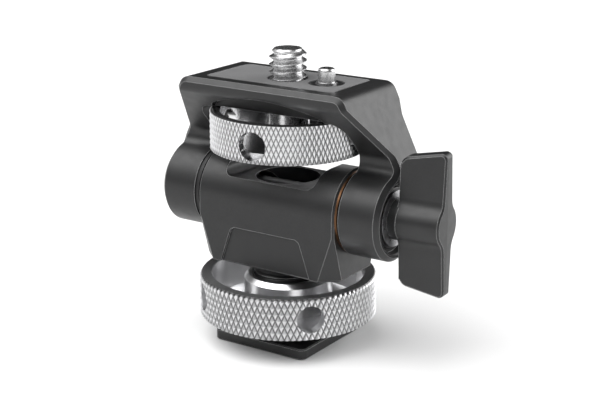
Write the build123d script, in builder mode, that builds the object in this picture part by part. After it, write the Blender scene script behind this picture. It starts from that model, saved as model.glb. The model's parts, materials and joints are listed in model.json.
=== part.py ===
from build123d import *

import os

# Swivel-and-tilt screw mount on a cold-shoe foot.
#
# A square shoe foot and a threaded stem carry a knurled clamp ring and a swivelling base block.  A yoke tilts
# about a horizontal axle through the block, is held by friction washers and locked by a wing knob, and carries
# a captive 1/4 inch screw, turned by a knurled thumb wheel, with a spring-loaded locating pin beside it.
#
# Frame: millimetres, +Z up, origin at the centre of the foot's underside, +X along the tilt axle to the knob,
# -Y towards the front of the block.

# ---- driving dimensions -------------------------------------------------------------------------------
FIT_GAP = 0.02          # clearance between pieces that are fixed to each other
RUN_GAP = 0.05          # clearance between faces that turn on each other

SHOE_SIZE = 18.6        # standard accessory shoe
SHOE_THICKNESS = 1.9
SHOE_CORNER = 1.2

STEM_RADIUS = 6.0       # M12 x 1 thread
STEM_TOP = 12.6
STEM_SPIGOT_RADIUS = 2.2
JOURNAL_RADIUS = 4.0
JOURNAL_TOP = 17.1

RING_RADIUS = 15.37
RING_INNER_RADIUS = 13.2
RING_BOTTOM = 4.5
RING_TOP = 11.78
RING_FLOOR = 5.5
RING_HUB_RADIUS = 7.65
RING_HUB_TOP = 11.5
RING_HOLE_RADIUS = 2.35
RING_HOLE_HEIGHT = 8.15
RING_HOLE_ANGLE = -41.5

BARREL_RADIUS = 7.28
HINGE_HEIGHT = 24.83
BLOCK_HALF_WIDTH = 13.81
BLOCK_BOTTOM = 13.58
FACET_TOP = 22.8        # where the corner facets start
FACET_WIDTH = 3.1       # facet size on the front face, at the bottom
FACET_DEPTH = 2.85      # facet size on the side face, at the bottom
POCKET_FLOOR = 28.8
POCKET_HALF_WIDTH = 9.1
WELL_RADIUS = 5.5       # vertical well for the swivel screw
WELL_FLOOR = 17.2
BUSH_RADIUS = 3.9
SWIVEL_BUSH_RADIUS = 5.0
PANEL_TOP = 20.25       # name panel: a shallow trapezoid, left blank
PANEL_TOP_HALF_WIDTH = 6.9
PANEL_HALF_WIDTH = 9.3
PANEL_DEPTH = 0.4

EAR_INNER = 14.65
EAR_OUTER = 22.0
EAR_RECESS_RADIUS = 5.9
EAR_RECESS_FLOOR = 20.35
AXLE_RADIUS = 3.0
LEFT_WASHER_RADIUS = 7.05
BRONZE_WASHER_RADIUS = 7.0
RIGHT_WASHER_RADIUS = 6.8
RIGHT_WASHER_SPLIT = 14.2 # where the bronze washer ends and the steel one starts
KNOB_THREAD_RADIUS = 2.0

PLATE_TOP = 45.67
PLATE_BOTTOM = 40.56
PLATE_FRONT = -9.0
PLATE_BACK = 8.3
PAD_LENGTH = 25.2
PAD_WIDTH = 12.2
PAD_THICKNESS = 1.2
PAD_CORNER = 1.0

SCREW_RADIUS = 3.175    # 1/4 inch
SCREW_TOP = 50.74
SCREW_SHOULDER_RADIUS = 3.5
SCREW_NECK_RADIUS = 2.95  # plain neck inside the plate
SCREW_HOLE_RADIUS = 3.4

WHEEL_RADIUS = 13.2
WHEEL_INNER_RADIUS = 11.5
WHEEL_BOTTOM = 33.84
WHEEL_TOP = 40.34
WHEEL_FLOOR = 35.0
WHEEL_HOLE_RADIUS = 2.4
WHEEL_HOLE_HEIGHT = 36.74
WHEEL_HOLE_ANGLE = -82.5

PIN_X = 7.7
PIN_RADIUS = 1.45
PIN_TOP = 48.22
PIN_BASE_RADIUS = 1.75   # wider base that slides in the bush
PIN_BASE_TOP = 45.9
PIN_BUSH_RADIUS = 2.85
PIN_BUSH_BOTTOM = 35.7
PIN_BUSH_BORE = 2.3
PIN_FLANGE_TOP = 43.4
PIN_FLANGE_BOTTOM = 42.6

KNOB_INNER = 22.6       # inner edge of the wings
KNOB_OUTER = 30.6
KNOB_HUB_RADIUS = 3.5
KNOB_HUB_START = 21.55
KNOB_WASHER_RADIUS = 4.7
KNOB_INNER_HEIGHT = 10.7
KNOB_OUTER_HEIGHT = 12.2
KNOB_ROOT_THICKNESS = 3.7
KNOB_TIP_THICKNESS = 2.1
KNOB_ANGLE = 5.0
KNOB_EDGE_RADIUS = 0.4
KNOB_END_BEVEL = 0.3

PLATE_HALF_WIDTH = 15.87 # at the very top, the arms flare straight from there to the ears
FLARE_END = 33.05       # height where the arms reach the full width of the ears
WINDOW_CORNER = 2.6
SWEEP_TOP = 43.5        # front of the arms: swept back from here ...
SWEEP_END = 34.75       # ... to here
NECK_FRONT = -0.7       # front of the arms where they meet the ears
BACK_STEP_TOP = 42.8
BACK_STEP_BOTTOM = 40.4
OUTLINE_CORNER = 2.2
EDGE_BEVEL = 0.8
SCOOP_DEPTH = 5.4       # front wall of the finger scoop under the plate's front edge
SCOOP_TOP = 43.4        # crown of the arched scoop
SCOOP_SPRING = 41.15    # height where the arch starts at the sides
SCOOP_HALF_WIDTH = 11.3
CLIP_RECESS_FLOOR = 43.5
CLIP_RADIUS = 4.3
CLIP_GROOVE_RADIUS = 2.6
CLIP_BOTTOM = 43.6
CLIP_TOP = 44.3
AXLE_THREAD_RADIUS = 2.5
AXLE_SHOULDER_END = 20.9
AXLE_END = 28.0
SLEEVE_FLANGE_RADIUS = 5.2
SPRING_WIRE = 0.35
SPRING_RADIUS = 1.85
SPRING_TURNS = 6
INSERT_RADIUS = 2.8
INSERT_END = 28.5


def export(name, part):
    """Label a finished piece and write it as its own STEP file."""
    part.label = name
    export_step(part, f"parts/{name}.step")


def hinge_plane(x):
    """A plane across the tilt axle at x: local x is +Y, local y is +Z."""
    return Plane(origin=(x, 0, HINGE_HEIGHT), x_dir=(0, 1, 0), z_dir=(1, 0, 0))


def ring_along_z(outer, inner, bottom, top):
    """A plain ring round the Z axis."""
    with BuildPart() as ring:
        with BuildSketch(Plane.XY.offset(bottom)):
            Circle(outer)
            Circle(inner, mode=Mode.SUBTRACT)
        extrude(amount=top - bottom)
    return ring.part


def ring_along_axle(outer, inner, start, end):
    """A plain ring round the tilt axle."""
    with BuildPart() as ring:
        with BuildSketch(hinge_plane(start)):
            Circle(outer)
            Circle(inner, mode=Mode.SUBTRACT)
        extrude(amount=end - start)
    return ring.part


def tommy_planes(angle, height, radius):
    """Four planes that look outwards along the tommy-bar holes of a ring."""
    planes = []
    for turn in range(4):
        outward = Vector(1, 0, 0).rotate(Axis.Z, angle + 90 * turn)
        planes.append(Plane(origin=outward * radius + Vector(0, 0, height), z_dir=outward))
    return planes


def is_back_outline(edge):
    """True for the edges round the back of the yoke, outside the window between its arms."""
    middle = edge.center()
    return middle.Y > PLATE_BACK - 0.1 and (middle.Z > PLATE_TOP - 0.1 or abs(middle.X) > EAR_INNER + 0.5)


def is_front_top_edge(edge):
    """True for the long front edges on top of the plate."""
    middle = edge.center()
    return middle.Z > PLATE_TOP - 0.1 and middle.Y < PLATE_FRONT + 0.1 and edge.length > 5


def is_recess_rim(edge):
    """True for the rim of the stepped recess in the yoke's right ear."""
    return abs(edge.center().X - EAR_OUTER) < 0.01 and abs(edge.radius - EAR_RECESS_RADIUS) < 0.01


os.makedirs("parts", exist_ok=True)

# ---- foot, stem and what is fixed to them ----------------------------------------------------------------
FOOT_SCREW_X = 4.4
FOOT_SCREW_RADIUS = 1.0
FOOT_SCREW_HEAD_RADIUS = 1.8
FOOT_SCREW_DEPTH = 5.2
SWIVEL_SCREW_RADIUS = 2.0
SWIVEL_HEAD_RADIUS = 3.5
SWIVEL_HEAD_BOTTOM = 18.55
SWIVEL_HEAD_TOP = 21.0
SWIVEL_SCREW_END = 7.0

with BuildPart() as shoe_foot:
    with BuildSketch():
        RectangleRounded(SHOE_SIZE, SHOE_SIZE, SHOE_CORNER)
    extrude(amount=SHOE_THICKNESS)
    chamfer(shoe_foot.faces().filter_by(Axis.Z).edges(), 0.2)
    with BuildSketch():
        Circle(STEM_SPIGOT_RADIUS + FIT_GAP)
    extrude(amount=SHOE_THICKNESS, mode=Mode.SUBTRACT)
    with Locations(Plane(origin=(0, 0, 0), x_dir=(1, 0, 0), z_dir=(0, 0, -1))):
        with Locations((-FOOT_SCREW_X, 0), (FOOT_SCREW_X, 0)):
            CounterSinkHole(FOOT_SCREW_RADIUS + FIT_GAP, FOOT_SCREW_HEAD_RADIUS + FIT_GAP, SHOE_THICKNESS)
export("shoe_foot", shoe_foot.part)

with BuildPart() as threaded_stem:
    with BuildSketch(Plane.XY.offset(0.3)):
        Circle(STEM_SPIGOT_RADIUS)
    extrude(amount=SHOE_THICKNESS)
    with BuildSketch(Plane.XY.offset(SHOE_THICKNESS + FIT_GAP / 2)):
        Circle(STEM_RADIUS)
    extrude(amount=STEM_TOP - SHOE_THICKNESS - FIT_GAP / 2)
    with BuildSketch(Plane.XY.offset(STEM_TOP)):
        Circle(JOURNAL_RADIUS)
    extrude(amount=JOURNAL_TOP - STEM_TOP)
    with BuildSketch(Plane.XY.offset(SWIVEL_SCREW_END - 0.8)):
        Circle(SWIVEL_SCREW_RADIUS)
    extrude(amount=JOURNAL_TOP, mode=Mode.SUBTRACT)
    with BuildSketch(Plane.XY.offset(SHOE_THICKNESS)):
        with Locations((-FOOT_SCREW_X, 0), (FOOT_SCREW_X, 0)):
            Circle(FOOT_SCREW_RADIUS)
    extrude(amount=FOOT_SCREW_DEPTH - SHOE_THICKNESS + 0.4, mode=Mode.SUBTRACT)
export("threaded_stem", threaded_stem.part)

HEAD_CONE_TOP = FOOT_SCREW_HEAD_RADIUS - FOOT_SCREW_RADIUS + 0.07

with BuildPart() as foot_screws:
    for side in (-1, 1):
        head_plane = Plane(origin=(side * FOOT_SCREW_X, 0, 0.05), z_dir=(0, 0, 1))
        shank_plane = Plane(origin=(side * FOOT_SCREW_X, 0, HEAD_CONE_TOP), z_dir=(0, 0, 1))
        with BuildSketch(head_plane):
            Circle(FOOT_SCREW_HEAD_RADIUS - 0.05)
        with BuildSketch(shank_plane):
            Circle(FOOT_SCREW_RADIUS - FIT_GAP)
        loft()
        with BuildSketch(shank_plane):
            Circle(FOOT_SCREW_RADIUS - FIT_GAP)
        extrude(amount=FOOT_SCREW_DEPTH - HEAD_CONE_TOP)
        with BuildSketch(head_plane):
            RegularPolygon(0.75, 6)
        extrude(amount=0.6, mode=Mode.SUBTRACT)
export("foot_screws", foot_screws.part)

swivel_friction_washer = ring_along_z(5.85, JOURNAL_RADIUS + RUN_GAP, STEM_TOP + FIT_GAP, BLOCK_BOTTOM - RUN_GAP)
export("swivel_friction_washer", swivel_friction_washer)

with BuildPart() as swivel_spring_washer:
    with BuildSketch(Plane.XZ):
        with BuildLine():
            Polyline(
                (2.2, WELL_FLOOR + 1.05),
                (4.7, WELL_FLOOR + 0.7),
                (4.7, WELL_FLOOR + 0.95),
                (2.2, WELL_FLOOR + 1.3),
                close=True,
            )
        make_face()
    revolve(axis=Axis.Z)
export("swivel_spring_washer", swivel_spring_washer.part)

with BuildPart() as swivel_screw:
    with BuildSketch(Plane.XY.offset(SWIVEL_SCREW_END)):
        Circle(SWIVEL_SCREW_RADIUS - FIT_GAP)
    extrude(amount=SWIVEL_HEAD_BOTTOM - SWIVEL_SCREW_END)
    with BuildSketch(Plane.XY.offset(SWIVEL_HEAD_BOTTOM)):
        Circle(SWIVEL_HEAD_RADIUS)
    extrude(amount=SWIVEL_HEAD_TOP - SWIVEL_HEAD_BOTTOM)
    chamfer(swivel_screw.faces().sort_by(Axis.Z)[-1].edges(), 0.3)
    with BuildSketch(Plane.XY.offset(SWIVEL_HEAD_TOP)):
        RegularPolygon(1.45, 6)
    extrude(amount=-1.5, mode=Mode.SUBTRACT)
export("swivel_screw", swivel_screw.part)

# ---- clamp ring and its friction ring -------------------------------------------------------------------
GROOVE_INNER = 8.5
GROOVE_OUTER = 11.5
GROOVE_TOP = 4.95

clamp_friction_ring = ring_along_z(GROOVE_OUTER - RUN_GAP, GROOVE_INNER + RUN_GAP, 4.25, GROOVE_TOP - RUN_GAP)
export("clamp_friction_ring", clamp_friction_ring)

with BuildPart() as clamp_ring:
    with BuildSketch(Plane.XZ):
        with BuildLine():
            Polyline(
                (STEM_RADIUS + 0.03, RING_BOTTOM),
                (GROOVE_INNER, RING_BOTTOM),
                (GROOVE_INNER, GROOVE_TOP),
                (GROOVE_OUTER, GROOVE_TOP),
                (GROOVE_OUTER, RING_BOTTOM),
                (RING_RADIUS - 0.5, RING_BOTTOM),
                (RING_RADIUS, RING_BOTTOM + 0.5),
                (RING_RADIUS, RING_TOP - 0.4),
                (RING_RADIUS - 0.4, RING_TOP),
                (RING_INNER_RADIUS, RING_TOP),
                (RING_INNER_RADIUS, RING_FLOOR + 0.6),
                (RING_INNER_RADIUS - 0.6, RING_FLOOR),
                (RING_HUB_RADIUS, RING_FLOOR),
                (RING_HUB_RADIUS, RING_HUB_TOP - 0.75),
                (RING_HUB_RADIUS - 0.75, RING_HUB_TOP),
                (STEM_RADIUS + 0.4, RING_HUB_TOP),
                (STEM_RADIUS + 0.03, RING_HUB_TOP - 0.4),
                close=True,
            )
        make_face()
    revolve(axis=Axis.Z)
    for plane in tommy_planes(RING_HOLE_ANGLE, RING_HOLE_HEIGHT, RING_INNER_RADIUS - 1):
        with BuildSketch(plane):
            Circle(RING_HOLE_RADIUS)
        extrude(amount=4, mode=Mode.SUBTRACT)
export("clamp_ring", clamp_ring.part)

# ---- base block: half-round barrel on top, faceted box below ------------------------------------------------
with BuildPart() as base_block:
    with BuildSketch(Plane(origin=(-BLOCK_HALF_WIDTH, 0, 0), x_dir=(0, 1, 0), z_dir=(1, 0, 0))):
        with Locations((0, HINGE_HEIGHT)):
            Circle(BARREL_RADIUS)
        with Locations((0, (HINGE_HEIGHT + BLOCK_BOTTOM) / 2)):
            Rectangle(2 * BARREL_RADIUS, HINGE_HEIGHT - BLOCK_BOTTOM)
    extrude(amount=2 * BLOCK_HALF_WIDTH)
    chamfer(base_block.faces().filter_by(Axis.X).edges(), 0.35)

    # corner facets: one tetrahedral cut off each lower corner
    for side in (-1, 1):
        for front in (-1, 1):
            corner = Vector(side * BLOCK_HALF_WIDTH, front * BARREL_RADIUS, BLOCK_BOTTOM)
            apex = corner + Vector(0, 0, FACET_TOP - BLOCK_BOTTOM)
            across = corner - Vector(side * FACET_WIDTH, 0, 0)
            along = corner - Vector(0, front * FACET_DEPTH, 0)
            normal = (across - apex).cross(along - apex) * (side * front)
            split(bisect_by=Plane(origin=apex, z_dir=normal), keep=Keep.BOTTOM if normal.Z < 0 else Keep.TOP)

    # well for the swivel screw, bore for the swivel bush and bore for the tilt bushes
    with BuildSketch(Plane.XY.offset(WELL_FLOOR)):
        Circle(WELL_RADIUS)
    extrude(amount=20, mode=Mode.SUBTRACT)
    with BuildSketch(Plane.XY.offset(BLOCK_BOTTOM - 1)):
        Circle(SWIVEL_BUSH_RADIUS)
    extrude(amount=5, mode=Mode.SUBTRACT)
    with BuildSketch(hinge_plane(-BLOCK_HALF_WIDTH - 1)):
        Circle(BUSH_RADIUS)
    extrude(amount=2 * BLOCK_HALF_WIDTH + 2, mode=Mode.SUBTRACT)

    # cross pocket in the top of the barrel, flat floor with flared ends
    with BuildSketch(Plane.XZ.offset(-12)):
        with BuildLine():
            half = Polyline(
                (0, POCKET_FLOOR),
                (POCKET_HALF_WIDTH, POCKET_FLOOR),
                (POCKET_HALF_WIDTH, HINGE_HEIGHT + BARREL_RADIUS),
                (POCKET_HALF_WIDTH + 4, HINGE_HEIGHT + BARREL_RADIUS),
                (POCKET_HALF_WIDTH + 4, HINGE_HEIGHT + BARREL_RADIUS + 3),
                (0, HINGE_HEIGHT + BARREL_RADIUS + 3),
            )
            mirror(half, about=Plane.YZ)
        make_face()
        corners = [v for v in vertices() if abs(abs(v.X) - POCKET_HALF_WIDTH) < 0.01]
        fillet(corners, 1.5)
    extrude(amount=24, mode=Mode.SUBTRACT)

    # shallow name panel, left blank, on the front face
    with BuildSketch(Plane.XZ.offset(BARREL_RADIUS)):
        with BuildLine():
            Polyline(
                (-PANEL_HALF_WIDTH, BLOCK_BOTTOM - 0.3),
                (PANEL_HALF_WIDTH, BLOCK_BOTTOM - 0.3),
                (PANEL_TOP_HALF_WIDTH, PANEL_TOP),
                (-PANEL_TOP_HALF_WIDTH, PANEL_TOP),
                close=True,
            )
        make_face()
        fillet(vertices().group_by(Axis.Y)[-1], 1.3)
    extrude(amount=-PANEL_DEPTH, mode=Mode.SUBTRACT)
    bottom_edges = base_block.faces().sort_by(Axis.Z)[0].edges().filter_by(GeomType.LINE)
    chamfer(bottom_edges, 0.25)
export("base_block", base_block.part)

with BuildPart() as swivel_bush:
    with BuildSketch(Plane.XY.offset(BLOCK_BOTTOM + 0.1)):
        Circle(SWIVEL_BUSH_RADIUS - FIT_GAP)
        Circle(JOURNAL_RADIUS + RUN_GAP, mode=Mode.SUBTRACT)
    extrude(amount=WELL_FLOOR - BLOCK_BOTTOM - 0.15)
export("swivel_bush", swivel_bush.part)

swivel_thrust_washer = ring_along_z(5.35, 2.2, WELL_FLOOR + FIT_GAP, WELL_FLOOR + 0.62)
export("swivel_thrust_washer", swivel_thrust_washer)

for name, start in (("barrel_bush_left", -BLOCK_HALF_WIDTH + 0.1), ("barrel_bush_right", BLOCK_HALF_WIDTH - 6.1)):
    bush = ring_along_axle(BUSH_RADIUS - FIT_GAP, AXLE_RADIUS + RUN_GAP, start, start + 6)
    export(name, bush)

right_friction_washer = ring_along_axle(
    BRONZE_WASHER_RADIUS, AXLE_RADIUS + RUN_GAP, BLOCK_HALF_WIDTH + FIT_GAP, RIGHT_WASHER_SPLIT
)
export("right_friction_washer", right_friction_washer)

# ---- tilting yoke: slotted plate on two arms that end in round ears ---------------------------------------
EAR_CUT = HINGE_HEIGHT - BARREL_RADIUS - 1

with BuildPart() as top_yoke:
    # front view outline, with the window between the arms
    with BuildSketch(Plane.XZ.offset(-PLATE_BACK)):
        with BuildLine():
            outer = FilletPolyline(
                (EAR_OUTER, EAR_CUT),
                (EAR_OUTER, FLARE_END),
                (PLATE_HALF_WIDTH, PLATE_TOP),
                (0, PLATE_TOP),
                radius=OUTLINE_CORNER,
            )
            inner = FilletPolyline(
                (0, PLATE_BOTTOM),
                (EAR_INNER, PLATE_BOTTOM),
                (EAR_INNER, EAR_CUT),
                radius=WINDOW_CORNER,
            )
            Line(inner @ 1, outer @ 0)
            mirror(outer, about=Plane.YZ)
            mirror(inner, about=Plane.YZ)
            Line((-EAR_INNER, EAR_CUT), (-EAR_OUTER, EAR_CUT))
        make_face()
    extrude(amount=PLATE_BACK - PLATE_FRONT)
    chamfer([e for e in top_yoke.edges() if is_back_outline(e)], EDGE_BEVEL)

    # side view profile: plate, arms swept back at the front, round ears
    with BuildSketch(Plane.YZ.offset(-30)):
        with Locations((0, HINGE_HEIGHT)):
            Circle(BARREL_RADIUS)
        with BuildLine():
            Polyline(
                (BARREL_RADIUS, HINGE_HEIGHT),
                (BARREL_RADIUS, BACK_STEP_BOTTOM),
                (PLATE_BACK, BACK_STEP_TOP),
                (PLATE_BACK, PLATE_TOP),
                (PLATE_FRONT, PLATE_TOP),
                (PLATE_FRONT, SWEEP_TOP),
                (NECK_FRONT, SWEEP_END),
                (NECK_FRONT, HINGE_HEIGHT),
                close=True,
            )
        make_face()
        # in this sketch X runs along the frame's Y, and Y along its Z
        fillet([v for v in vertices() if abs(v.X - NECK_FRONT) < 0.01 and v.Y > HINGE_HEIGHT + 5], 1.9)
        fillet([v for v in vertices() if v.X > BARREL_RADIUS - 0.1 and 40 < v.Y < 43], 1.2)
        fillet([v for v in vertices() if abs(v.Y - SWEEP_TOP) < 0.01], 1.5)
    extrude(amount=60, mode=Mode.INTERSECT)

    # one bevel runs along the plate's front edge, down both arms and round the ears
    chamfer([e for e in top_yoke.edges() if is_front_top_edge(e)], EDGE_BEVEL)

    # clearance for the thumb wheel and the arched finger scoop in the front of the plate
    with BuildSketch(Plane.XY.offset(WHEEL_BOTTOM - 0.8)):
        Circle(WHEEL_RADIUS + 0.5)
    extrude(amount=PLATE_BOTTOM - WHEEL_BOTTOM + 0.8, mode=Mode.SUBTRACT)
    with BuildSketch(Plane.XZ.offset(SCOOP_DEPTH)):
        with BuildLine():
            ThreePointArc((-SCOOP_HALF_WIDTH, SCOOP_SPRING), (0, SCOOP_TOP), (SCOOP_HALF_WIDTH, SCOOP_SPRING))
            Polyline(
                (SCOOP_HALF_WIDTH, SCOOP_SPRING),
                (SCOOP_HALF_WIDTH, PLATE_BOTTOM - 1),
                (-SCOOP_HALF_WIDTH, PLATE_BOTTOM - 1),
                (-SCOOP_HALF_WIDTH, SCOOP_SPRING),
            )
        make_face()
        fillet(vertices().group_by(Axis.Y)[-1], 1.5)
    extrude(amount=8, mode=Mode.SUBTRACT)

    # pocket for the grip pad, recess for the screw clip, holes for the screw and the pin bush
    with BuildSketch(Plane.XY.offset(PLATE_TOP - PAD_THICKNESS)):
        RectangleRounded(PAD_LENGTH, PAD_WIDTH, PAD_CORNER)
    extrude(amount=PAD_THICKNESS, mode=Mode.SUBTRACT)
    with BuildSketch(Plane.XY.offset(CLIP_RECESS_FLOOR)):
        Circle(CLIP_RADIUS + 0.2)
    extrude(amount=2, mode=Mode.SUBTRACT)
    with BuildSketch(Plane.XY.offset(PLATE_BOTTOM - 1)):
        Circle(SCREW_HOLE_RADIUS)
        with Locations((PIN_X, 0)):
            Circle(PIN_BUSH_RADIUS + FIT_GAP)
    extrude(amount=8, mode=Mode.SUBTRACT)

    # ears: blind thread on the left, bore with a stepped recess on the right
    with BuildSketch(hinge_plane(-20.6)):
        Circle(AXLE_THREAD_RADIUS)
    extrude(amount=10, mode=Mode.SUBTRACT)
    with BuildSketch(hinge_plane(EAR_INNER - 1)):
        Circle(BUSH_RADIUS)
    extrude(amount=10, mode=Mode.SUBTRACT)
    with BuildSketch(hinge_plane(EAR_RECESS_FLOOR)):
        Circle(EAR_RECESS_RADIUS)
    extrude(amount=5, mode=Mode.SUBTRACT)
    chamfer(top_yoke.edges().filter_by(GeomType.CIRCLE).filter_by(is_recess_rim), 0.3)
export("top_yoke", top_yoke.part)

with BuildPart() as grip_pad:
    with BuildSketch(Plane.XY.offset(PLATE_TOP - PAD_THICKNESS + FIT_GAP)):
        RectangleRounded(PAD_LENGTH - 0.2, PAD_WIDTH - 0.2, PAD_CORNER - 0.1)
        Circle(SCREW_HOLE_RADIUS, mode=Mode.SUBTRACT)
        with Locations((PIN_X, 0)):
            Circle(PIN_BUSH_RADIUS + 0.15, mode=Mode.SUBTRACT)
    extrude(amount=PAD_THICKNESS - FIT_GAP)
export("grip_pad", grip_pad.part)

with BuildPart() as tilt_axle:
    with BuildSketch(hinge_plane(-20.5)):
        Circle(AXLE_THREAD_RADIUS - FIT_GAP)
    extrude(amount=20.5 - EAR_INNER)
    with BuildSketch(hinge_plane(-EAR_INNER)):
        Circle(AXLE_RADIUS)
    extrude(amount=EAR_INNER + AXLE_SHOULDER_END)
    with BuildSketch(hinge_plane(AXLE_SHOULDER_END)):
        Circle(KNOB_THREAD_RADIUS)
    extrude(amount=AXLE_END - AXLE_SHOULDER_END)
    chamfer(tilt_axle.faces().filter_by(Axis.X).sort_by(Axis.X)[-1].edges(), 0.3)
export("tilt_axle", tilt_axle.part)

left_friction_washer = ring_along_axle(
    LEFT_WASHER_RADIUS, AXLE_RADIUS + FIT_GAP, -EAR_INNER + FIT_GAP, -BLOCK_HALF_WIDTH - RUN_GAP
)
export("left_friction_washer", left_friction_washer)

right_steel_washer = ring_along_axle(
    RIGHT_WASHER_RADIUS, AXLE_RADIUS + FIT_GAP, RIGHT_WASHER_SPLIT + RUN_GAP, EAR_INNER - FIT_GAP
)
export("right_steel_washer", right_steel_washer)

with BuildPart() as ear_sleeve:
    with BuildSketch(hinge_plane(EAR_INNER + 0.1)):
        Circle(BUSH_RADIUS - FIT_GAP)
    extrude(amount=EAR_RECESS_FLOOR - EAR_INNER)
    with BuildSketch(hinge_plane(EAR_RECESS_FLOOR + FIT_GAP)):
        Circle(SLEEVE_FLANGE_RADIUS)
    extrude(amount=0.65)
    fillet(ear_sleeve.faces().sort_by(Axis.X)[-1].edges(), 0.2)
    with BuildSketch(hinge_plane(EAR_INNER)):
        Circle(AXLE_RADIUS + FIT_GAP)
    extrude(amount=8, mode=Mode.SUBTRACT)
export("ear_sleeve", ear_sleeve.part)

# ---- locating pin with its bush, spring and plug ------------------------------------------------------------
PIN_PLUG_TOP = PIN_BUSH_BOTTOM + 0.8

with BuildPart() as pin_bush:
    with BuildSketch(Plane.XY.offset(PIN_BUSH_BOTTOM)):
        with Locations((PIN_X, 0)):
            Circle(PIN_BUSH_RADIUS)
    extrude(amount=PLATE_TOP - 0.05 - PIN_BUSH_BOTTOM)
    fillet(pin_bush.faces().sort_by(Axis.Z)[-1].edges(), 0.25)
    with BuildSketch(Plane.XY.offset(PIN_BUSH_BOTTOM)):
        with Locations((PIN_X, 0)):
            Circle(PIN_BUSH_BORE)
    extrude(amount=PIN_FLANGE_TOP + FIT_GAP - PIN_BUSH_BOTTOM, mode=Mode.SUBTRACT)
    with BuildSketch(Plane.XY.offset(PIN_FLANGE_TOP)):
        with Locations((PIN_X, 0)):
            Circle(PIN_BASE_RADIUS + RUN_GAP)
    extrude(amount=4, mode=Mode.SUBTRACT)
export("pin_bush", pin_bush.part)

with BuildPart() as pin_plug:
    with BuildSketch(Plane.XY.offset(PIN_BUSH_BOTTOM)):
        with Locations((PIN_X, 0)):
            Circle(PIN_BUSH_BORE - FIT_GAP)
    extrude(amount=PIN_PLUG_TOP - PIN_BUSH_BOTTOM)
    chamfer(pin_plug.faces().sort_by(Axis.Z)[0].edges(), 0.2)
export("pin_plug", pin_plug.part)

with BuildPart() as pin_spring:
    with BuildLine(Plane(origin=(PIN_X, 0, PIN_PLUG_TOP + SPRING_WIRE / 2 + 0.05), z_dir=(0, 0, 1))):
        coil = Helix(
            pitch=(PIN_FLANGE_BOTTOM - PIN_PLUG_TOP - SPRING_WIRE - 0.1) / SPRING_TURNS,
            height=PIN_FLANGE_BOTTOM - PIN_PLUG_TOP - SPRING_WIRE - 0.1,
            radius=SPRING_RADIUS,
        )
    with BuildSketch(Plane(origin=coil @ 0, z_dir=coil % 0)):
        Circle(SPRING_WIRE / 2)
    sweep(path=coil, is_frenet=True)
export("pin_spring", pin_spring.part)

with BuildPart() as locating_pin:
    with BuildSketch(Plane.XY.offset(PIN_FLANGE_BOTTOM)):
        with Locations((PIN_X, 0)):
            Circle(PIN_BUSH_BORE - RUN_GAP)
    extrude(amount=PIN_FLANGE_TOP - PIN_FLANGE_BOTTOM)
    with BuildSketch(Plane.XY.offset(PIN_FLANGE_TOP)):
        with Locations((PIN_X, 0)):
            Circle(PIN_BASE_RADIUS)
    extrude(amount=PIN_BASE_TOP - PIN_FLANGE_TOP)
    with BuildSketch(Plane.XY.offset(PIN_BASE_TOP)):
        with Locations((PIN_X, 0)):
            Circle(PIN_RADIUS)
    extrude(amount=PIN_TOP - PIN_BASE_TOP)
    fillet(locating_pin.faces().sort_by(Axis.Z)[-1].edges(), 0.55)
export("locating_pin", locating_pin.part)

# ---- thumb wheel and its captive screw -------------------------------------------------------------------
WHEEL_SPIGOT_RADIUS = 2.5
WHEEL_SCREW_RADIUS = 1.5
WHEEL_SCREW_HEAD_RADIUS = 2.3
WHEEL_SCREW_TOP = 39.0
THREAD_CHAMFER = 0.9

with BuildPart() as thumb_wheel:
    with BuildSketch(Plane.XZ):
        with BuildLine():
            Polyline(
                (WHEEL_SPIGOT_RADIUS + FIT_GAP, WHEEL_BOTTOM),
                (WHEEL_RADIUS - 0.4, WHEEL_BOTTOM),
                (WHEEL_RADIUS, WHEEL_BOTTOM + 0.4),
                (WHEEL_RADIUS, WHEEL_TOP - 0.25),
                (WHEEL_RADIUS - 0.25, WHEEL_TOP),
                (WHEEL_INNER_RADIUS, WHEEL_TOP),
                (WHEEL_INNER_RADIUS, WHEEL_FLOOR),
                (WHEEL_SPIGOT_RADIUS + FIT_GAP, WHEEL_FLOOR),
                close=True,
            )
        make_face()
    revolve(axis=Axis.Z)
    for plane in tommy_planes(WHEEL_HOLE_ANGLE, WHEEL_HOLE_HEIGHT, WHEEL_INNER_RADIUS - 1):
        with BuildSketch(plane):
            Circle(WHEEL_HOLE_RADIUS)
        extrude(amount=4, mode=Mode.SUBTRACT)
export("thumb_wheel", thumb_wheel.part)

with BuildPart() as mounting_screw:
    with BuildSketch(Plane.XZ):
        with BuildLine():
            Polyline(
                (0, WHEEL_BOTTOM + 0.3),
                (WHEEL_SPIGOT_RADIUS, WHEEL_BOTTOM + 0.3),
                (WHEEL_SPIGOT_RADIUS, WHEEL_FLOOR + FIT_GAP),
                (SCREW_SHOULDER_RADIUS, WHEEL_FLOOR + FIT_GAP),
                (SCREW_SHOULDER_RADIUS, PLATE_BOTTOM - RUN_GAP),
                (SCREW_NECK_RADIUS, PLATE_BOTTOM - RUN_GAP),
                (SCREW_NECK_RADIUS, CLIP_BOTTOM),
                (CLIP_GROOVE_RADIUS, CLIP_BOTTOM),
                (CLIP_GROOVE_RADIUS, CLIP_TOP),
                (SCREW_NECK_RADIUS, CLIP_TOP),
                (SCREW_NECK_RADIUS, PLATE_TOP),
                (SCREW_RADIUS, PLATE_TOP),
                (SCREW_RADIUS, SCREW_TOP - THREAD_CHAMFER),
                (SCREW_RADIUS - THREAD_CHAMFER, SCREW_TOP),
                (0, SCREW_TOP),
                close=True,
            )
        make_face()
    revolve(axis=Axis.Z)
    with BuildSketch(Plane.XY.offset(WHEEL_BOTTOM)):
        Circle(WHEEL_SCREW_RADIUS)
    extrude(amount=WHEEL_SCREW_TOP + 0.4 - WHEEL_BOTTOM, mode=Mode.SUBTRACT)
export("mounting_screw", mounting_screw.part)

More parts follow.
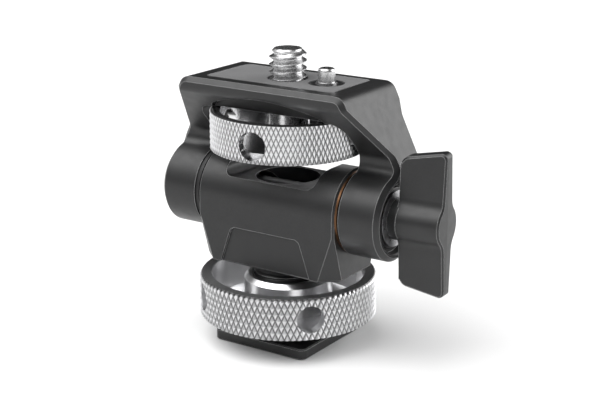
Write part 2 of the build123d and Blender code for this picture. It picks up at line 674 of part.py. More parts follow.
with BuildPart() as wheel_lock_screw:
    with BuildSketch(Plane.XZ):
        with BuildLine():
            Polyline(
                (0, WHEEL_BOTTOM - 0.9),
                (WHEEL_SCREW_HEAD_RADIUS + 1.4, WHEEL_BOTTOM - 0.9),
                (WHEEL_SCREW_HEAD_RADIUS + 1.4, WHEEL_BOTTOM - FIT_GAP),
                (WHEEL_SCREW_RADIUS - FIT_GAP, WHEEL_BOTTOM - FIT_GAP),
                (WHEEL_SCREW_RADIUS - FIT_GAP, WHEEL_SCREW_TOP),
                (0, WHEEL_SCREW_TOP),
                close=True,
            )
        make_face()
    revolve(axis=Axis.Z)
    fillet(wheel_lock_screw.faces().sort_by(Axis.Z)[0].edges(), 0.4)
    with BuildSketch(Plane.XY.offset(WHEEL_BOTTOM - 0.9)):
        RegularPolygon(1.15, 6)
    extrude(amount=1.5, mode=Mode.SUBTRACT)
export("wheel_lock_screw", wheel_lock_screw.part)

with BuildPart() as screw_clip:
    with BuildSketch(Plane.XY.offset(CLIP_BOTTOM + FIT_GAP)):
        Circle(CLIP_RADIUS)
        Circle(CLIP_GROOVE_RADIUS + FIT_GAP, mode=Mode.SUBTRACT)
        with Locations((0, -CLIP_RADIUS)):
            Rectangle(2.2, 2 * CLIP_RADIUS, mode=Mode.SUBTRACT)
    extrude(amount=CLIP_TOP - CLIP_BOTTOM - 2 * FIT_GAP)
export("screw_clip", screw_clip.part)

# ---- wing knob ---------------------------------------------------------------------------------------------
knob_thrust_washer = ring_along_axle(
    KNOB_WASHER_RADIUS, KNOB_THREAD_RADIUS + 0.3, KNOB_HUB_START - 0.5, KNOB_HUB_START - RUN_GAP
)
export("knob_thrust_washer", knob_thrust_washer)

with BuildPart() as wing_knob:
    # cross-section of hub and two wings, turned a little about the axle
    with BuildSketch(hinge_plane(KNOB_INNER).rotated((0, 0, KNOB_ANGLE))):
        Circle(KNOB_HUB_RADIUS)
        with BuildLine():
            Polyline(
                (-KNOB_TIP_THICKNESS / 2, KNOB_OUTER_HEIGHT + 1),
                (KNOB_TIP_THICKNESS / 2, KNOB_OUTER_HEIGHT + 1),
                (KNOB_ROOT_THICKNESS / 2, 0),
                (KNOB_TIP_THICKNESS / 2, -KNOB_OUTER_HEIGHT - 1),
                (-KNOB_TIP_THICKNESS / 2, -KNOB_OUTER_HEIGHT - 1),
                (-KNOB_ROOT_THICKNESS / 2, 0),
                close=True,
            )
        make_face()
        fillet([v for v in vertices() if 1 < v.center().length < KNOB_HUB_RADIUS + 1], 2.6)
    extrude(amount=KNOB_OUTER - KNOB_INNER)
    # the wings flare towards the outer end
    flare_plane = Plane(origin=(0, 0, HINGE_HEIGHT), x_dir=(1, 0, 0), z_dir=(0, -1, 0))
    with BuildSketch(flare_plane.rotated((KNOB_ANGLE, 0, 0))):
        with BuildLine():
            Polyline(
                (KNOB_INNER, -KNOB_INNER_HEIGHT),
                (KNOB_OUTER, -KNOB_OUTER_HEIGHT),
                (KNOB_OUTER, KNOB_OUTER_HEIGHT),
                (KNOB_INNER, KNOB_INNER_HEIGHT),
                close=True,
            )
        make_face()
        fillet(vertices().group_by(Axis.X)[0], 1.6)
        fillet(vertices().group_by(Axis.X)[-1], 1.0)
    extrude(amount=10, both=True, mode=Mode.INTERSECT)
    fillet(wing_knob.faces().sort_by(Axis.X)[0].edges(), KNOB_EDGE_RADIUS)
    chamfer(wing_knob.faces().sort_by(Axis.X)[-1].edges(), KNOB_END_BEVEL)
    with BuildSketch(hinge_plane(KNOB_HUB_START)):
        Circle(KNOB_HUB_RADIUS)
    extrude(amount=KNOB_INNER - KNOB_HUB_START + 0.5)
    with BuildSketch(hinge_plane(KNOB_HUB_START)):
        Circle(INSERT_RADIUS + FIT_GAP)
    extrude(amount=INSERT_END - KNOB_HUB_START + 0.5, mode=Mode.SUBTRACT)
export("wing_knob", wing_knob.part)

with BuildPart() as knob_insert:
    with BuildSketch(hinge_plane(KNOB_HUB_START + 0.3)):
        Circle(INSERT_RADIUS)
        Circle(KNOB_THREAD_RADIUS + 0.03, mode=Mode.SUBTRACT)
    extrude(amount=INSERT_END - KNOB_HUB_START - 0.3)
export("knob_insert", knob_insert.part)
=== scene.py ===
import json
import math

import bmesh
import bpy
from mathutils import Matrix, Vector


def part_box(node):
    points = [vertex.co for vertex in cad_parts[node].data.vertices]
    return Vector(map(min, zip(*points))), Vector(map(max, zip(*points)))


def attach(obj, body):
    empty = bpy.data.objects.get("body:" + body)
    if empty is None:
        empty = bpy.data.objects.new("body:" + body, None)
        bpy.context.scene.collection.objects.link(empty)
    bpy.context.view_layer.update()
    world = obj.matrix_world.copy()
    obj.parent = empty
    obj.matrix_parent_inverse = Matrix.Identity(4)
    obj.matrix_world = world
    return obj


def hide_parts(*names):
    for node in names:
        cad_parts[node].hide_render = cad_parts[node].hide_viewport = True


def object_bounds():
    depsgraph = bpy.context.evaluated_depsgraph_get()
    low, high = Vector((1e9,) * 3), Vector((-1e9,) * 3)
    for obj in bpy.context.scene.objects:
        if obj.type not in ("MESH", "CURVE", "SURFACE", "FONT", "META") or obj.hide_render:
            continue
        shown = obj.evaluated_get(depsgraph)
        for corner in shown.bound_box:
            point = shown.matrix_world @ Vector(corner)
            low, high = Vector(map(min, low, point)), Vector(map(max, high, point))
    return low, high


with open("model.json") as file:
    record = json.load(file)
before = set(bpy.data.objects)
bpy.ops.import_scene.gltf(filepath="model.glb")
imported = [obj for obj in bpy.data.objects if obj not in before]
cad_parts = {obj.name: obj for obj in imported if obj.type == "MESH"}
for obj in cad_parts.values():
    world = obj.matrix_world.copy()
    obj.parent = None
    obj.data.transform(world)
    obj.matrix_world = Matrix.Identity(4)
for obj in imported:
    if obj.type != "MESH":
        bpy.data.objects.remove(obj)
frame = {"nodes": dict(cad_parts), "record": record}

# Looks of the swivel bracket: metres, +Z up, -Y towards the front of the block, +X towards the wing knob.

MM = 0.001
MERGE_DISTANCE = 0.002 * MM     # points nearer than this become one
KNURL_SHARP = 28                # degrees between faces that shows as a sharp edge
THREAD_SHARP = 50

cad_low, cad_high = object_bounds()


# ---- meshes -------------------------------------------------------------------------------------------

def new_piece(name, mesh, body, replaced):
    """Put a mesh in the scene as a piece that stands for a CAD node."""
    piece = bpy.data.objects.new(name, mesh)
    bpy.context.scene.collection.objects.link(piece)
    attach(piece, body)
    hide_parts(replaced)


def ring_of(radius, height, columns):
    """One row of points round Z. radius is a number or a function of the column."""
    points = []
    for column in range(columns):
        turn = 2 * math.pi * column / columns
        r = radius(column) if callable(radius) else radius
        points.append(Vector((r * math.cos(turn), r * math.sin(turn), height)))
    return points


def finish_mesh(data, name, sharp_degrees):
    """A Blender mesh from a bmesh, smooth except across its sharp edges."""
    mesh = bpy.data.meshes.new(name)
    bmesh.ops.recalc_face_normals(data, faces=data.faces)
    data.to_mesh(mesh)
    data.free()
    for polygon in mesh.polygons:
        polygon.use_smooth = True
    mesh.set_sharp_from_angle(angle=math.radians(sharp_degrees))
    return mesh


def knurl_rows(outer, depth, bottom, top, steps, columns):
    """Rows of a diamond knurl: tips and groove crossings take turns, like the squares of a chessboard."""
    rows = []
    for step in range(steps + 1):
        height = bottom + (top - bottom) * step / steps

        def radius(column, step=step):
            return outer if (column + step) % 2 else outer - depth

        rows.append(ring_of(radius, height, columns))
    return rows


def knurled_ring(below, knurl, above, columns):
    """A closed ring: the plain rows below, the knurled rows, then the plain rows back to the start."""
    rows = [ring_of(radius, height, columns) for radius, height in below]
    first_knurl = len(rows)
    rows += knurl
    last_knurl = len(rows) - 1
    rows += [ring_of(radius, height, columns) for radius, height in above]
    data = bmesh.new()
    grid = [[data.verts.new(point) for point in row] for row in rows]
    for k, row in enumerate(grid):
        next_row = grid[(k + 1) % len(grid)]
        for j in range(columns):
            i = (j + 1) % columns
            a, b, c, d = row[j], row[i], next_row[i], next_row[j]
            if not first_knurl <= k < last_knurl:
                data.faces.new((a, b, c, d))
            elif (j + k - first_knurl) % 2:
                # the groove runs from b to d
                data.faces.new((a, b, d))
                data.faces.new((b, c, d))
            else:
                # the groove runs from a to c
                data.faces.new((a, b, c))
                data.faces.new((a, c, d))
    return data


def mesh_object(data, name):
    """A plain object in the scene, made from a bmesh."""
    mesh = bpy.data.meshes.new(name)
    data.to_mesh(mesh)
    data.free()
    made = bpy.data.objects.new(name, mesh)
    bpy.context.scene.collection.objects.link(made)
    return made


def cut_tommy_holes(data, radius, height, first_angle, inner, outer):
    """Four round cross holes through the wall between inner and outer, for a tommy bar."""
    bmesh.ops.recalc_face_normals(data, faces=data.faces)
    blank = mesh_object(data, "blank")
    drills = bmesh.new()
    for hole in range(4):
        angle = math.radians(first_angle + 90 * hole)
        outward = Vector((math.cos(angle), math.sin(angle), 0))
        middle = outward * (inner + outer) / 2 + Vector((0, 0, height))
        bmesh.ops.create_cone(
            drills, cap_ends=True, segments=48, radius1=radius, radius2=radius, depth=outer - inner,
            matrix=Matrix.Translation(middle) @ outward.to_track_quat("Z", "Y").to_matrix().to_4x4(),
        )
    cutter = mesh_object(drills, "cutter")
    cut = blank.modifiers.new("holes", "BOOLEAN")
    cut.operation = "DIFFERENCE"
    cut.solver = "EXACT"
    cut.object = cutter
    graph = bpy.context.evaluated_depsgraph_get()
    drilled = bmesh.new()
    drilled.from_mesh(bpy.data.meshes.new_from_object(blank.evaluated_get(graph)))
    for used in (blank, cutter):
        bpy.data.objects.remove(used)
    bmesh.ops.remove_doubles(drilled, verts=drilled.verts, dist=MERGE_DISTANCE / 2)
    return drilled


# one pitch of a thread, from root to root: share of the pitch, and share of the depth
THREAD_SECTION = (
    (0.0, 0.0), (0.06, 0.0), (0.20, 0.28), (0.36, 0.72), (0.47, 1.0),
    (0.56, 1.0), (0.67, 0.72), (0.83, 0.28), (0.97, 0.0),
)


def thread_mesh(name, major, minor, pitch, bottom, top, end_radius, below, above, columns=72, lead=0.0):
    """A solid of revolution with a right-hand thread between bottom and top.

    Points follow the helix, so that crest and root are clean lines, and they are held between the two ends.
    below and above are the plain rows that close the solid, as (radius, height). lead lowers the helix.
    """
    steps = len(THREAD_SECTION)
    turns = math.ceil((top - bottom) / pitch) + 2
    data = bmesh.new()

    def point(column, row):
        share, rise = THREAD_SECTION[row % steps]
        height = bottom - pitch - lead + pitch * (row // steps + share + column / columns)
        radius = minor + (major - minor) * rise
        # the last stretch is turned down to a cone, and the first runs out of the neck
        radius = min(radius, end_radius + max(0.0, top - height))
        height = min(max(height, bottom), top)
        radius = min(radius, minor + max(0.0, height - bottom))
        turn = 2 * math.pi * column / columns
        return (radius * math.cos(turn), radius * math.sin(turn), height)

    rows = steps * turns
    grid = [[data.verts.new(point(c, r)) for c in range(columns)] for r in range(rows + steps)]
    for r in range(rows - 1):
        for c in range(columns):
            if c < columns - 1:
                corners = (grid[r][c], grid[r][c + 1], grid[r + 1][c + 1], grid[r + 1][c])
            else:
                # after a whole turn the helix is one pitch higher
                corners = (grid[r][c], grid[r + steps][0], grid[r + steps + 1][0], grid[r + 1][c])
            data.faces.new(corners)
    for profile in (below, above):
        plain = [[data.verts.new(p) for p in ring_of(r, z, columns)] for r, z in profile]
        for low_row, high_row in zip(plain, plain[1:]):
            for c in range(columns):
                n = (c + 1) % columns
                data.faces.new((low_row[c], low_row[n], high_row[n], high_row[c]))
        data.faces.new(plain[-1])
    bmesh.ops.remove_doubles(data, verts=data.verts, dist=MERGE_DISTANCE)
    bmesh.ops.dissolve_degenerate(data, edges=data.edges, dist=MERGE_DISTANCE)
    loose = [v for v in data.verts if not v.link_faces]
    bmesh.ops.delete(data, geom=loose, context="VERTS")
    return finish_mesh(data, name, THREAD_SHARP)


# ---- materials ----------------------------------------------------------------------------------------

def grey(value, blue=0.0):
    """A grey, with a little more blue where asked."""
    return (value, value, value + blue)


class Finish:
    """A Principled material that is built up detail by detail. Sizes are in millimetres."""

    def __init__(self, name, metallic, specular=0.5):
        self.material = bpy.data.materials.new(name)
        self.material.use_nodes = True
        self.tree = self.material.node_tree
        self.shader = self.tree.nodes["Principled BSDF"]
        self.shader.inputs["Metallic"].default_value = metallic
        self.shader.inputs["Specular IOR Level"].default_value = specular
        self.place = self.add("ShaderNodeTexCoord").outputs["Object"]

    def add(self, kind, **settings):
        node = self.tree.nodes.new(kind)
        for key, value in settings.items():
            setattr(node, key, value)
        return node

    def link(self, source, target):
        self.tree.links.new(source, target)

    def noise(self, size, detail=3.0, place=None, stretch=(1, 1, 1), contrast=0.5):
        """Noise of about that grain size, from 0 to 1."""
        mapping = self.add("ShaderNodeMapping")
        mapping.inputs["Scale"].default_value = [s / (size * MM) for s in stretch]
        self.link(place or self.place, mapping.inputs["Vector"])
        noise = self.add("ShaderNodeTexNoise")
        noise.inputs["Scale"].default_value = 1.0
        noise.inputs["Detail"].default_value = detail
        noise.inputs["Roughness"].default_value = contrast
        self.link(mapping.outputs["Vector"], noise.inputs["Vector"])
        return noise.outputs["Fac"]

    def split(self, vector):
        """The X, Y and Z of a vector."""
        apart = self.add("ShaderNodeSeparateXYZ")
        self.link(vector, apart.inputs[0])
        return apart.outputs

    def turned(self):
        """Coordinates for lathe marks round Z: distance from the axis, and height."""
        flat = self.add("ShaderNodeVectorMath", operation="MULTIPLY")
        flat.inputs[1].default_value = (1, 1, 0)
        self.link(self.place, flat.inputs[0])
        length = self.add("ShaderNodeVectorMath", operation="LENGTH")
        self.link(flat.outputs[0], length.inputs[0])
        joined = self.add("ShaderNodeCombineXYZ")
        self.link(length.outputs["Value"], joined.inputs["X"])
        self.link(self.split(self.place)["Z"], joined.inputs["Y"])
        return joined.outputs[0]

    def spread(self, value, low, high, start=0.3, end=0.7):
        """The value between start and end, laid over low to high."""
        node = self.add("ShaderNodeMapRange")
        for key, number in (("From Min", start), ("From Max", end), ("To Min", low), ("To Max", high)):
            node.inputs[key].default_value = number
        self.link(value, node.inputs["Value"])
        return node.outputs["Result"]

    def blend(self, factor, first, second):
        """A colour between two colours, or between a node's colour and a colour."""
        node = self.add("ShaderNodeMix", data_type="RGBA")
        self.link(factor, node.inputs["Factor"])
        for socket, colour in ((node.inputs[6], first), (node.inputs[7], second)):
            if isinstance(colour, tuple):
                socket.default_value = (*colour, 1)
            else:
                self.link(colour, socket)
        return node.outputs[2]

    def rounded(self, radius):
        """The surface's normal, with sharp edges shaded as if they were rounded."""
        bevel = self.add("ShaderNodeBevel", samples=6)
        bevel.inputs["Radius"].default_value = radius * MM
        return bevel.outputs[0]

    def edge_mask(self, rounded, start, end):
        """1 along sharp edges, 0 on flat surfaces."""
        geometry = self.add("ShaderNodeNewGeometry")
        dot = self.add("ShaderNodeVectorMath", operation="DOT_PRODUCT")
        self.link(rounded, dot.inputs[0])
        self.link(geometry.outputs["Normal"], dot.inputs[1])
        return self.spread(dot.outputs["Value"], 1.0, 0.0, start, end)

    def bump(self, height, depth, normal=None):
        node = self.add("ShaderNodeBump")
        node.inputs["Distance"].default_value = depth * MM
        self.link(height, node.inputs["Height"])
        if normal is not None:
            self.link(normal, node.inputs["Normal"])
        return node.outputs[0]

    def set(self, **sources):
        """Link each source to the shader's input of that name, such as base_color."""
        for key, source in sources.items():
            self.link(source, self.shader.inputs[key.replace("_", " ").title()])


def black_anodised():
    """Bead-blasted aluminium, anodised black: satin, a fine grain, and sharp edges painted lighter, partly
    as rubbed anodising and partly as a painted highlight.
    """
    finish = Finish("black_anodised_aluminium", metallic=0.0)
    cloud = finish.noise(5.0, detail=4)
    grain = finish.noise(0.16, detail=2, contrast=0.6)
    base = finish.blend(finish.spread(cloud, 0, 1), (0.008, 0.0081, 0.0085), (0.012, 0.0121, 0.0125))
    speckled = finish.blend(finish.spread(grain, 0, 0.45), base, (0.024, 0.0241, 0.0247))
    rounded = finish.rounded(0.16)
    # lighter sharp edges: partly rubbed anodising, partly a painted highlight along every edge
    worn_and_painted_highlight = finish.blend(finish.edge_mask(rounded, 0.92, 0.985), speckled, grey(0.42, blue=0.003))
    rough = finish.spread(finish.noise(1.4), 0.36, 0.44)
    finish.set(base_color=worn_and_painted_highlight, roughness=rough, normal=finish.bump(grain, 0.008, rounded))
    return finish.material


def turned_aluminium(name, rough_low, rough_high, mark_depth, knurl=None):
    """Clear machined aluminium with lathe marks, and painted shade in the grooves of a knurl.

    knurl: the radii of the knurl's depth between which its grooves get painted shade, darkest at the first,
    in metres.
    """
    finish = Finish(name, metallic=1.0)
    place = finish.turned()
    marks = finish.noise(0.07, detail=2, place=place, stretch=(1, 1, 0))
    cloud = finish.noise(2.2, detail=4)
    base = finish.blend(finish.spread(cloud, 0, 1), grey(0.74, blue=0.01), grey(0.79, blue=0.01))
    if knurl:
        # painted shade: the deepest part of the knurl is coloured dark
        groove_painted_shade = finish.spread(finish.split(place)["X"], 1.0, 0.0, *knurl)
        base = finish.blend(groove_painted_shade, base, grey(0.13, blue=0.002))
    rough = finish.spread(finish.noise(0.5), rough_low, rough_high)
    normal = finish.bump(marks, mark_depth, finish.rounded(0.05))
    finish.set(base_color=base, roughness=rough, normal=normal)
    return finish.material


def bright_steel():
    """Bright nickel-plated steel: polished, with a faint mottle."""
    finish = Finish("bright_plated_steel", metallic=1.0)
    mottle = finish.noise(0.3, detail=2)
    cloud = finish.noise(1.5)
    base = finish.blend(finish.spread(cloud, 0, 1), grey(0.62, blue=0.005), grey(0.70, blue=0.005))
    rough = finish.spread(finish.noise(0.6), 0.24, 0.30)
    normal = finish.bump(mottle, 0.0008, finish.rounded(0.05))
    finish.set(base_color=base, roughness=rough, normal=normal)
    return finish.material


def plated_steel(name, dark, light, rough_low, rough_high, metallic=1.0):
    """Plain steel pieces: mottled plating and fine scratches."""
    finish = Finish(name, metallic=metallic)
    scratches = finish.noise(0.12, detail=3, stretch=(1, 6, 6))
    base = finish.blend(finish.spread(finish.noise(1.0, detail=4), 0, 1), dark, light)
    rough = finish.spread(finish.noise(0.6), rough_low, rough_high)
    normal = finish.bump(scratches, 0.003, finish.rounded(0.08))
    finish.set(base_color=base, roughness=rough, normal=normal)
    return finish.material


def grip_rubber():
    """Grey rubber pad: matte, with a fine pebbled grain."""
    finish = Finish("grey_grip_rubber", metallic=0.0, specular=0.3)
    grain = finish.noise(0.22, detail=3, contrast=0.6)
    cloud = finish.noise(4.0, detail=3)
    base = finish.blend(finish.spread(cloud, 0, 1), grey(0.120, blue=0.002), grey(0.142, blue=0.002))
    speckled = finish.blend(finish.spread(grain, 0, 0.5), base, grey(0.20, blue=0.002))
    rough = finish.spread(grain, 0.72, 0.9)
    finish.set(base_color=speckled, roughness=rough, normal=finish.bump(grain, 0.02, finish.rounded(0.1)))
    return finish.material


def black_polymer():
    """Friction washers of dark acetal, slightly waxy."""
    finish = Finish("black_acetal", metallic=0.0, specular=0.4)
    fine = finish.noise(0.25)
    base = finish.blend(finish.spread(fine, 0, 1), grey(0.010, blue=0.0005), grey(0.019, blue=0.0005))
    rough = finish.spread(finish.noise(0.9), 0.42, 0.56)
    finish.set(base_color=base, roughness=rough, normal=finish.bump(fine, 0.006))
    return finish.material


def bronze():
    """Oiled bearing bronze: pores and darker patches."""
    finish = Finish("bearing_bronze", metallic=1.0)
    pores = finish.noise(0.14, detail=4, contrast=0.7)
    cloud = finish.noise(0.8)
    base = finish.blend(finish.spread(cloud, 0, 1), (0.11, 0.055, 0.028), (0.17, 0.090, 0.048))
    porous = finish.blend(finish.spread(pores, 0, 0.6, 0.55, 0.75), base, (0.05, 0.026, 0.016))
    rough = finish.spread(pores, 0.28, 0.46)
    finish.set(base_color=porous, roughness=rough, normal=finish.bump(pores, 0.008))
    return finish.material


MATERIALS = {
    "black_anodised": black_anodised(),
    "black_oxide_steel": plated_steel(
        "black_oxide_steel", grey(0.018, blue=0.001), grey(0.045, blue=0.002), 0.30, 0.45, metallic=0.3),
    "bright_aluminium": turned_aluminium("turned_aluminium", 0.24, 0.34, 0.001),
    "bright_steel": bright_steel(),
    "zinc_steel": plated_steel(
        "zinc_plated_steel", grey(0.36, blue=0.01), grey(0.52, blue=0.01), 0.26, 0.40),
    "grip_rubber": grip_rubber(),
    "black_polymer": black_polymer(),
    "bronze": bronze(),
    "spring_steel": plated_steel(
        "spring_steel", grey(0.40, blue=0.01), grey(0.58, blue=0.01), 0.18, 0.30),
}

# the axle gets the dark black-oxide finish because it shows in the block's well: painted shade that keeps
# the well dark
DARKENED_FOR_WELL_SHADE = {"tilt_axle"}

for entry in frame["record"]["subparts"]:
    surface = "black_oxide_steel" if entry["node"] in DARKENED_FOR_WELL_SHADE else entry["material_slot"]
    node_mesh = frame["nodes"][entry["node"]].data
    node_mesh.materials.clear()
    node_mesh.materials.append(MATERIALS[surface])


# ---- knurled rings ------------------------------------------------------------------------------------

DRILL_SPARE = 1 * MM            # the tommy holes' cutters stand past the wall by this much
SHADED_GROOVE_SHARE = 0.4              # the deepest share of the knurl that gets painted shade


def finish_ring(mesh, name, outer, depth, rough_low, rough_high):
    """The knurl gets painted shade in its grooves, every face inside it a smooth turned finish."""
    # the radii of the knurl that get painted shade
    shaded_groove_radii = (outer - depth, outer - (1 - SHADED_GROOVE_SHARE) * depth)
    mesh.materials.append(turned_aluminium(name + "_knurl", 0.32, 0.42, 0.002, shaded_groove_radii))
    mesh.materials.append(turned_aluminium(name + "_turned", rough_low, rough_high, 0.0004))
    inside = outer - depth - 0.1 * MM
    for polygon in mesh.polygons:
        if polygon.center.xy.length < inside:
            polygon.material_index = 1


def make_thumb_wheel():
    """The silver wheel under the plate: fine diamond knurl, thin rim, dished top, four tommy holes."""
    low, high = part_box("thumb_wheel")
    outer, bottom, top = high.x, low.z, high.z
    bore, inner, floor = 2.55 * MM, outer - 1.7 * MM, bottom + 1.16 * MM
    depth, half_diamonds, columns = 0.24 * MM, 7, 208
    knurl_bottom, knurl_top = bottom + 0.1 * MM, top - 0.06 * MM
    knurl = knurl_rows(outer, depth, knurl_bottom, knurl_top, half_diamonds, columns)
    lower_rim, upper_rim = outer - 0.3 * MM, outer - 0.26 * MM
    below = ((bore, floor), (bore, bottom), (lower_rim, bottom))
    above = ((upper_rim, top), (inner, top), (inner, floor))
    hole_radius, hole_height, hole_angle = 2.4 * MM, bottom + 2.9 * MM, -82.5
    data = knurled_ring(below, knurl, above, columns)
    data = cut_tommy_holes(
        data, hole_radius, hole_height, hole_angle, inner - DRILL_SPARE, outer + DRILL_SPARE)
    mesh = finish_mesh(data, "thumb_wheel_knurled", KNURL_SHARP)
    finish_ring(mesh, "wheel", outer, depth, 0.20, 0.23)
    new_piece("thumb_wheel_knurled", mesh, "thumb_wheel", "thumb_wheel")


def make_clamp_ring():
    """The larger silver ring above the foot: coarse knurl, flat rim, deep trough round a polished hub."""
    low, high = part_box("clamp_ring")
    outer, bottom, top = high.x, low.z, high.z
    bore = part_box("threaded_stem")[1].x + 0.03 * MM
    inner, hub, rim = outer - 2.17 * MM, 7.65 * MM, outer - 0.42 * MM
    floor, hub_top = bottom + 1.0 * MM, top - 0.28 * MM
    groove_inner, groove_outer, groove_top = 8.5 * MM, 11.5 * MM, bottom + 0.45 * MM
    lip, hub_bevel, bore_bevel = 0.15 * MM, 0.75 * MM, 0.4 * MM
    depth, half_diamonds, columns = 0.34 * MM, 6, 186
    knurl_bottom, knurl_top = bottom + 0.2 * MM, top - 0.5 * MM
    knurl = knurl_rows(outer, depth, knurl_bottom, knurl_top, half_diamonds, columns)
    below = (
        (bore + bore_bevel, hub_top), (bore, hub_top - bore_bevel), (bore, bottom),
        (groove_inner, bottom), (groove_inner, groove_top),
        (groove_outer, groove_top), (groove_outer, bottom), (rim, bottom),
    )
    # the three rows above the trough's floor are its rounded corner
    above = (
        (rim, top), (inner + lip, top), (inner, top - lip), (inner, floor + 0.35 * MM),
        (inner - 0.1 * MM, floor + 0.1 * MM), (inner - 0.35 * MM, floor), (hub, floor),
        (hub, hub_top - hub_bevel), (hub - hub_bevel, hub_top),
    )
    hole_radius, hole_height, hole_angle = 2.35 * MM, bottom + 3.65 * MM, -41.5
    data = knurled_ring(below, knurl, above, columns)
    data = cut_tommy_holes(
        data, hole_radius, hole_height, hole_angle, inner - DRILL_SPARE, outer + DRILL_SPARE)
    mesh = finish_mesh(data, "clamp_ring_knurled", KNURL_SHARP)
    finish_ring(mesh, "clamp_ring", outer, depth, 0.28, 0.31)
    new_piece("clamp_ring_knurled", mesh, "clamp_ring", "clamp_ring")


# ---- threads ------------------------------------------------------------------------------------------

def make_mounting_screw():
    """The captive screw: 1/4 inch, 20 threads per inch, on a plain neck and a polished shoulder."""
    low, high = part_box("mounting_screw")
    wheel_low, wheel_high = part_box("thumb_wheel")
    thread_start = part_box("top_yoke")[1].z - 1.2 * MM
    shoulder_top, shoulder_bottom = wheel_high.z + 0.17 * MM, wheel_low.z + 1.18 * MM
    hole_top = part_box("wheel_lock_screw")[1].z + 0.4 * MM
    neck, shoulder, spigot, hole, end = 2.4 * MM, high.x, 2.5 * MM, 1.5 * MM, 2.275 * MM
    below = (
        (neck, thread_start), (neck, shoulder_top), (shoulder, shoulder_top), (shoulder, shoulder_bottom),
        (spigot, shoulder_bottom), (spigot, low.z), (hole, low.z), (hole, hole_top),
    )
    mesh = thread_mesh(
        "mounting_screw_threaded", major=3.175 * MM, minor=neck, pitch=1.27 * MM, bottom=thread_start,
        top=high.z, end_radius=end, below=below, above=((end, high.z),), columns=96, lead=0.4 * MM)
    mesh.materials.append(MATERIALS["bright_steel"])
    new_piece("mounting_screw_threaded", mesh, "thumb_wheel", "mounting_screw")


def make_stem():
    """The fixed stem under the block, with the fine thread that the clamp ring runs on."""
    low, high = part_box("threaded_stem")
    shoulder_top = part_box("swivel_friction_washer")[0].z - 0.02 * MM
    thread_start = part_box("shoe_foot")[1].z + 0.01 * MM
    minor, end, spigot, journal, hole = 5.45 * MM, 5.3 * MM, 2.2 * MM, 4.0 * MM, 2.0 * MM
    hole_bottom = high.z - 10.9 * MM
    below = ((minor, thread_start), (spigot, thread_start), (spigot, low.z))
    above = (
        (end, shoulder_top), (journal, shoulder_top), (journal, high.z),
        (hole, high.z), (hole, hole_bottom),
    )
    mesh = thread_mesh(
        "stem_threaded", major=high.x, minor=minor, pitch=1.0 * MM, bottom=thread_start,
        top=shoulder_top, end_radius=end, below=below, above=above)
    mesh.materials.append(MATERIALS["black_anodised"])
    new_piece("stem_threaded", mesh, "base", "threaded_stem")


make_thumb_wheel()
make_clamp_ring()
make_mounting_screw()
make_stem()


# ---- floor, light and camera --------------------------------------------------------------------------

FLOOR_REACH = 4.0
FLOOR_GAP = 0.02 * MM           # the floor lies this far below the foot

SUN_STRENGTH = 2.0
SUN_TOWARDS = (-0.30, -0.30, 0.90)
SUN_SPREAD = 60                 # degrees

SKY_STRENGTH = 0.03
# each pool of light in the sky: towards it, degrees from there to where it fades and where it ends, strength
LIGHT_POOLS = (
    ((-0.2, -0.45, 0.87), 20, 55, 1.5),      # the overhead softbox
    ((0.62, 0.72, 0.36), 12, 36, 4.2),       # behind, to the right
    ((0.75, -0.60, 0.25), 10, 32, 0.35),     # in front, to the right
    ((-0.95, 0.0, 0.30), 8, 26, 0.6),        # left
)

CAMERA_AZIMUTH = 33.983         # degrees from -Y towards +X
CAMERA_ELEVATION = 16.517
CAMERA_DISTANCE = 240.113 * MM
CAMERA_TARGET = Vector((-2.624, 1.130, -0.995)) * MM    # from the middle of the CAD box
CAMERA_LENS = 84.17             # in mm, on a sensor 36 mm wide


def make_floor():
    height = cad_low.z - FLOOR_GAP
    corners = [(x * FLOOR_REACH, y * FLOOR_REACH, height) for x, y in ((-1, -1), (1, -1), (1, 1), (-1, 1))]
    mesh = bpy.data.meshes.new("floor")
    mesh.from_pydata(corners, [], [(0, 1, 2, 3)])
    floor = bpy.data.objects.new("floor", mesh)
    bpy.context.scene.collection.objects.link(floor)
    finish = Finish("pale_floor", metallic=0.0, specular=0.1)
    finish.set(base_color=finish.blend(finish.noise(60.0), grey(0.86), grey(0.88)))
    finish.shader.inputs["Roughness"].default_value = 0.9
    mesh.materials.append(finish.material)


def make_sun():
    """A wide sun, for soft shadows."""
    light = bpy.data.lights.new("overhead", "SUN")
    light.energy = SUN_STRENGTH
    light.angle = math.radians(SUN_SPREAD)
    lamp = bpy.data.objects.new("overhead", light)
    bpy.context.scene.collection.objects.link(lamp)
    lamp.rotation_euler = Vector(SUN_TOWARDS).to_track_quat("Z", "Y").to_euler()


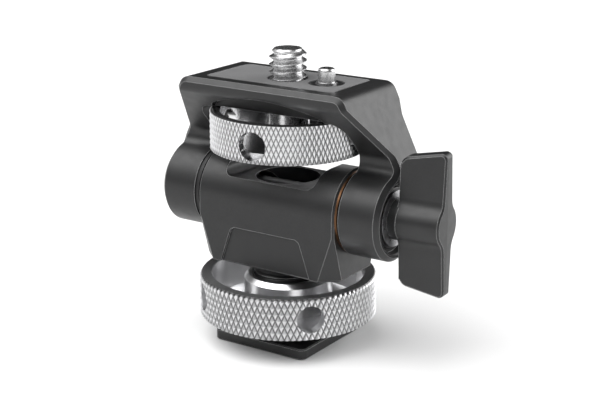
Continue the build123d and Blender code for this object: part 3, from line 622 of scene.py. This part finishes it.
def make_world():
    """A dark studio with smooth pools of light, added up one by one."""
    world = bpy.data.worlds.new("studio")
    bpy.context.scene.world = world
    world.use_nodes = True
    tree = world.node_tree
    sky = tree.nodes.new("ShaderNodeTexCoord").outputs["Generated"]
    total = None
    for towards, inner, outer, strength in LIGHT_POOLS:
        dot = tree.nodes.new("ShaderNodeVectorMath")
        dot.operation = "DOT_PRODUCT"
        dot.inputs[1].default_value = Vector(towards).normalized()
        tree.links.new(sky, dot.inputs[0])
        pool = tree.nodes.new("ShaderNodeMapRange")
        pool.interpolation_type = "SMOOTHSTEP"
        pool.inputs["From Min"].default_value = math.cos(math.radians(outer))
        pool.inputs["From Max"].default_value = math.cos(math.radians(inner))
        pool.inputs["To Max"].default_value = strength
        tree.links.new(dot.outputs["Value"], pool.inputs["Value"])
        plus = tree.nodes.new("ShaderNodeMath")
        if total is None:
            plus.inputs[0].default_value = SKY_STRENGTH
        else:
            tree.links.new(total, plus.inputs[0])
        tree.links.new(pool.outputs["Result"], plus.inputs[1])
        total = plus.outputs[0]
    background = tree.nodes["Background"]
    background.inputs["Color"].default_value = (1, 1, 1, 1)
    tree.links.new(total, background.inputs["Strength"])


def make_camera():
    """A long lens from the front right, a little above the object."""
    azimuth, elevation = math.radians(CAMERA_AZIMUTH), math.radians(CAMERA_ELEVATION)
    target = (cad_low + cad_high) / 2 + CAMERA_TARGET
    back = Vector((
        math.sin(azimuth) * math.cos(elevation),
        -math.cos(azimuth) * math.cos(elevation),
        math.sin(elevation),
    ))
    data = bpy.data.cameras.new("camera")
    data.lens = CAMERA_LENS
    data.sensor_width = 36.0
    data.clip_start = 0.01
    data.clip_end = 20.0
    camera = bpy.data.objects.new("camera", data)
    bpy.context.scene.collection.objects.link(camera)
    camera.location = target + back * CAMERA_DISTANCE
    camera.rotation_euler = back.to_track_quat("Z", "Y").to_euler()
    bpy.context.scene.camera = camera


make_floor()
make_sun()
make_world()
make_camera()
bpy.context.scene.view_settings.view_transform = "Standard"
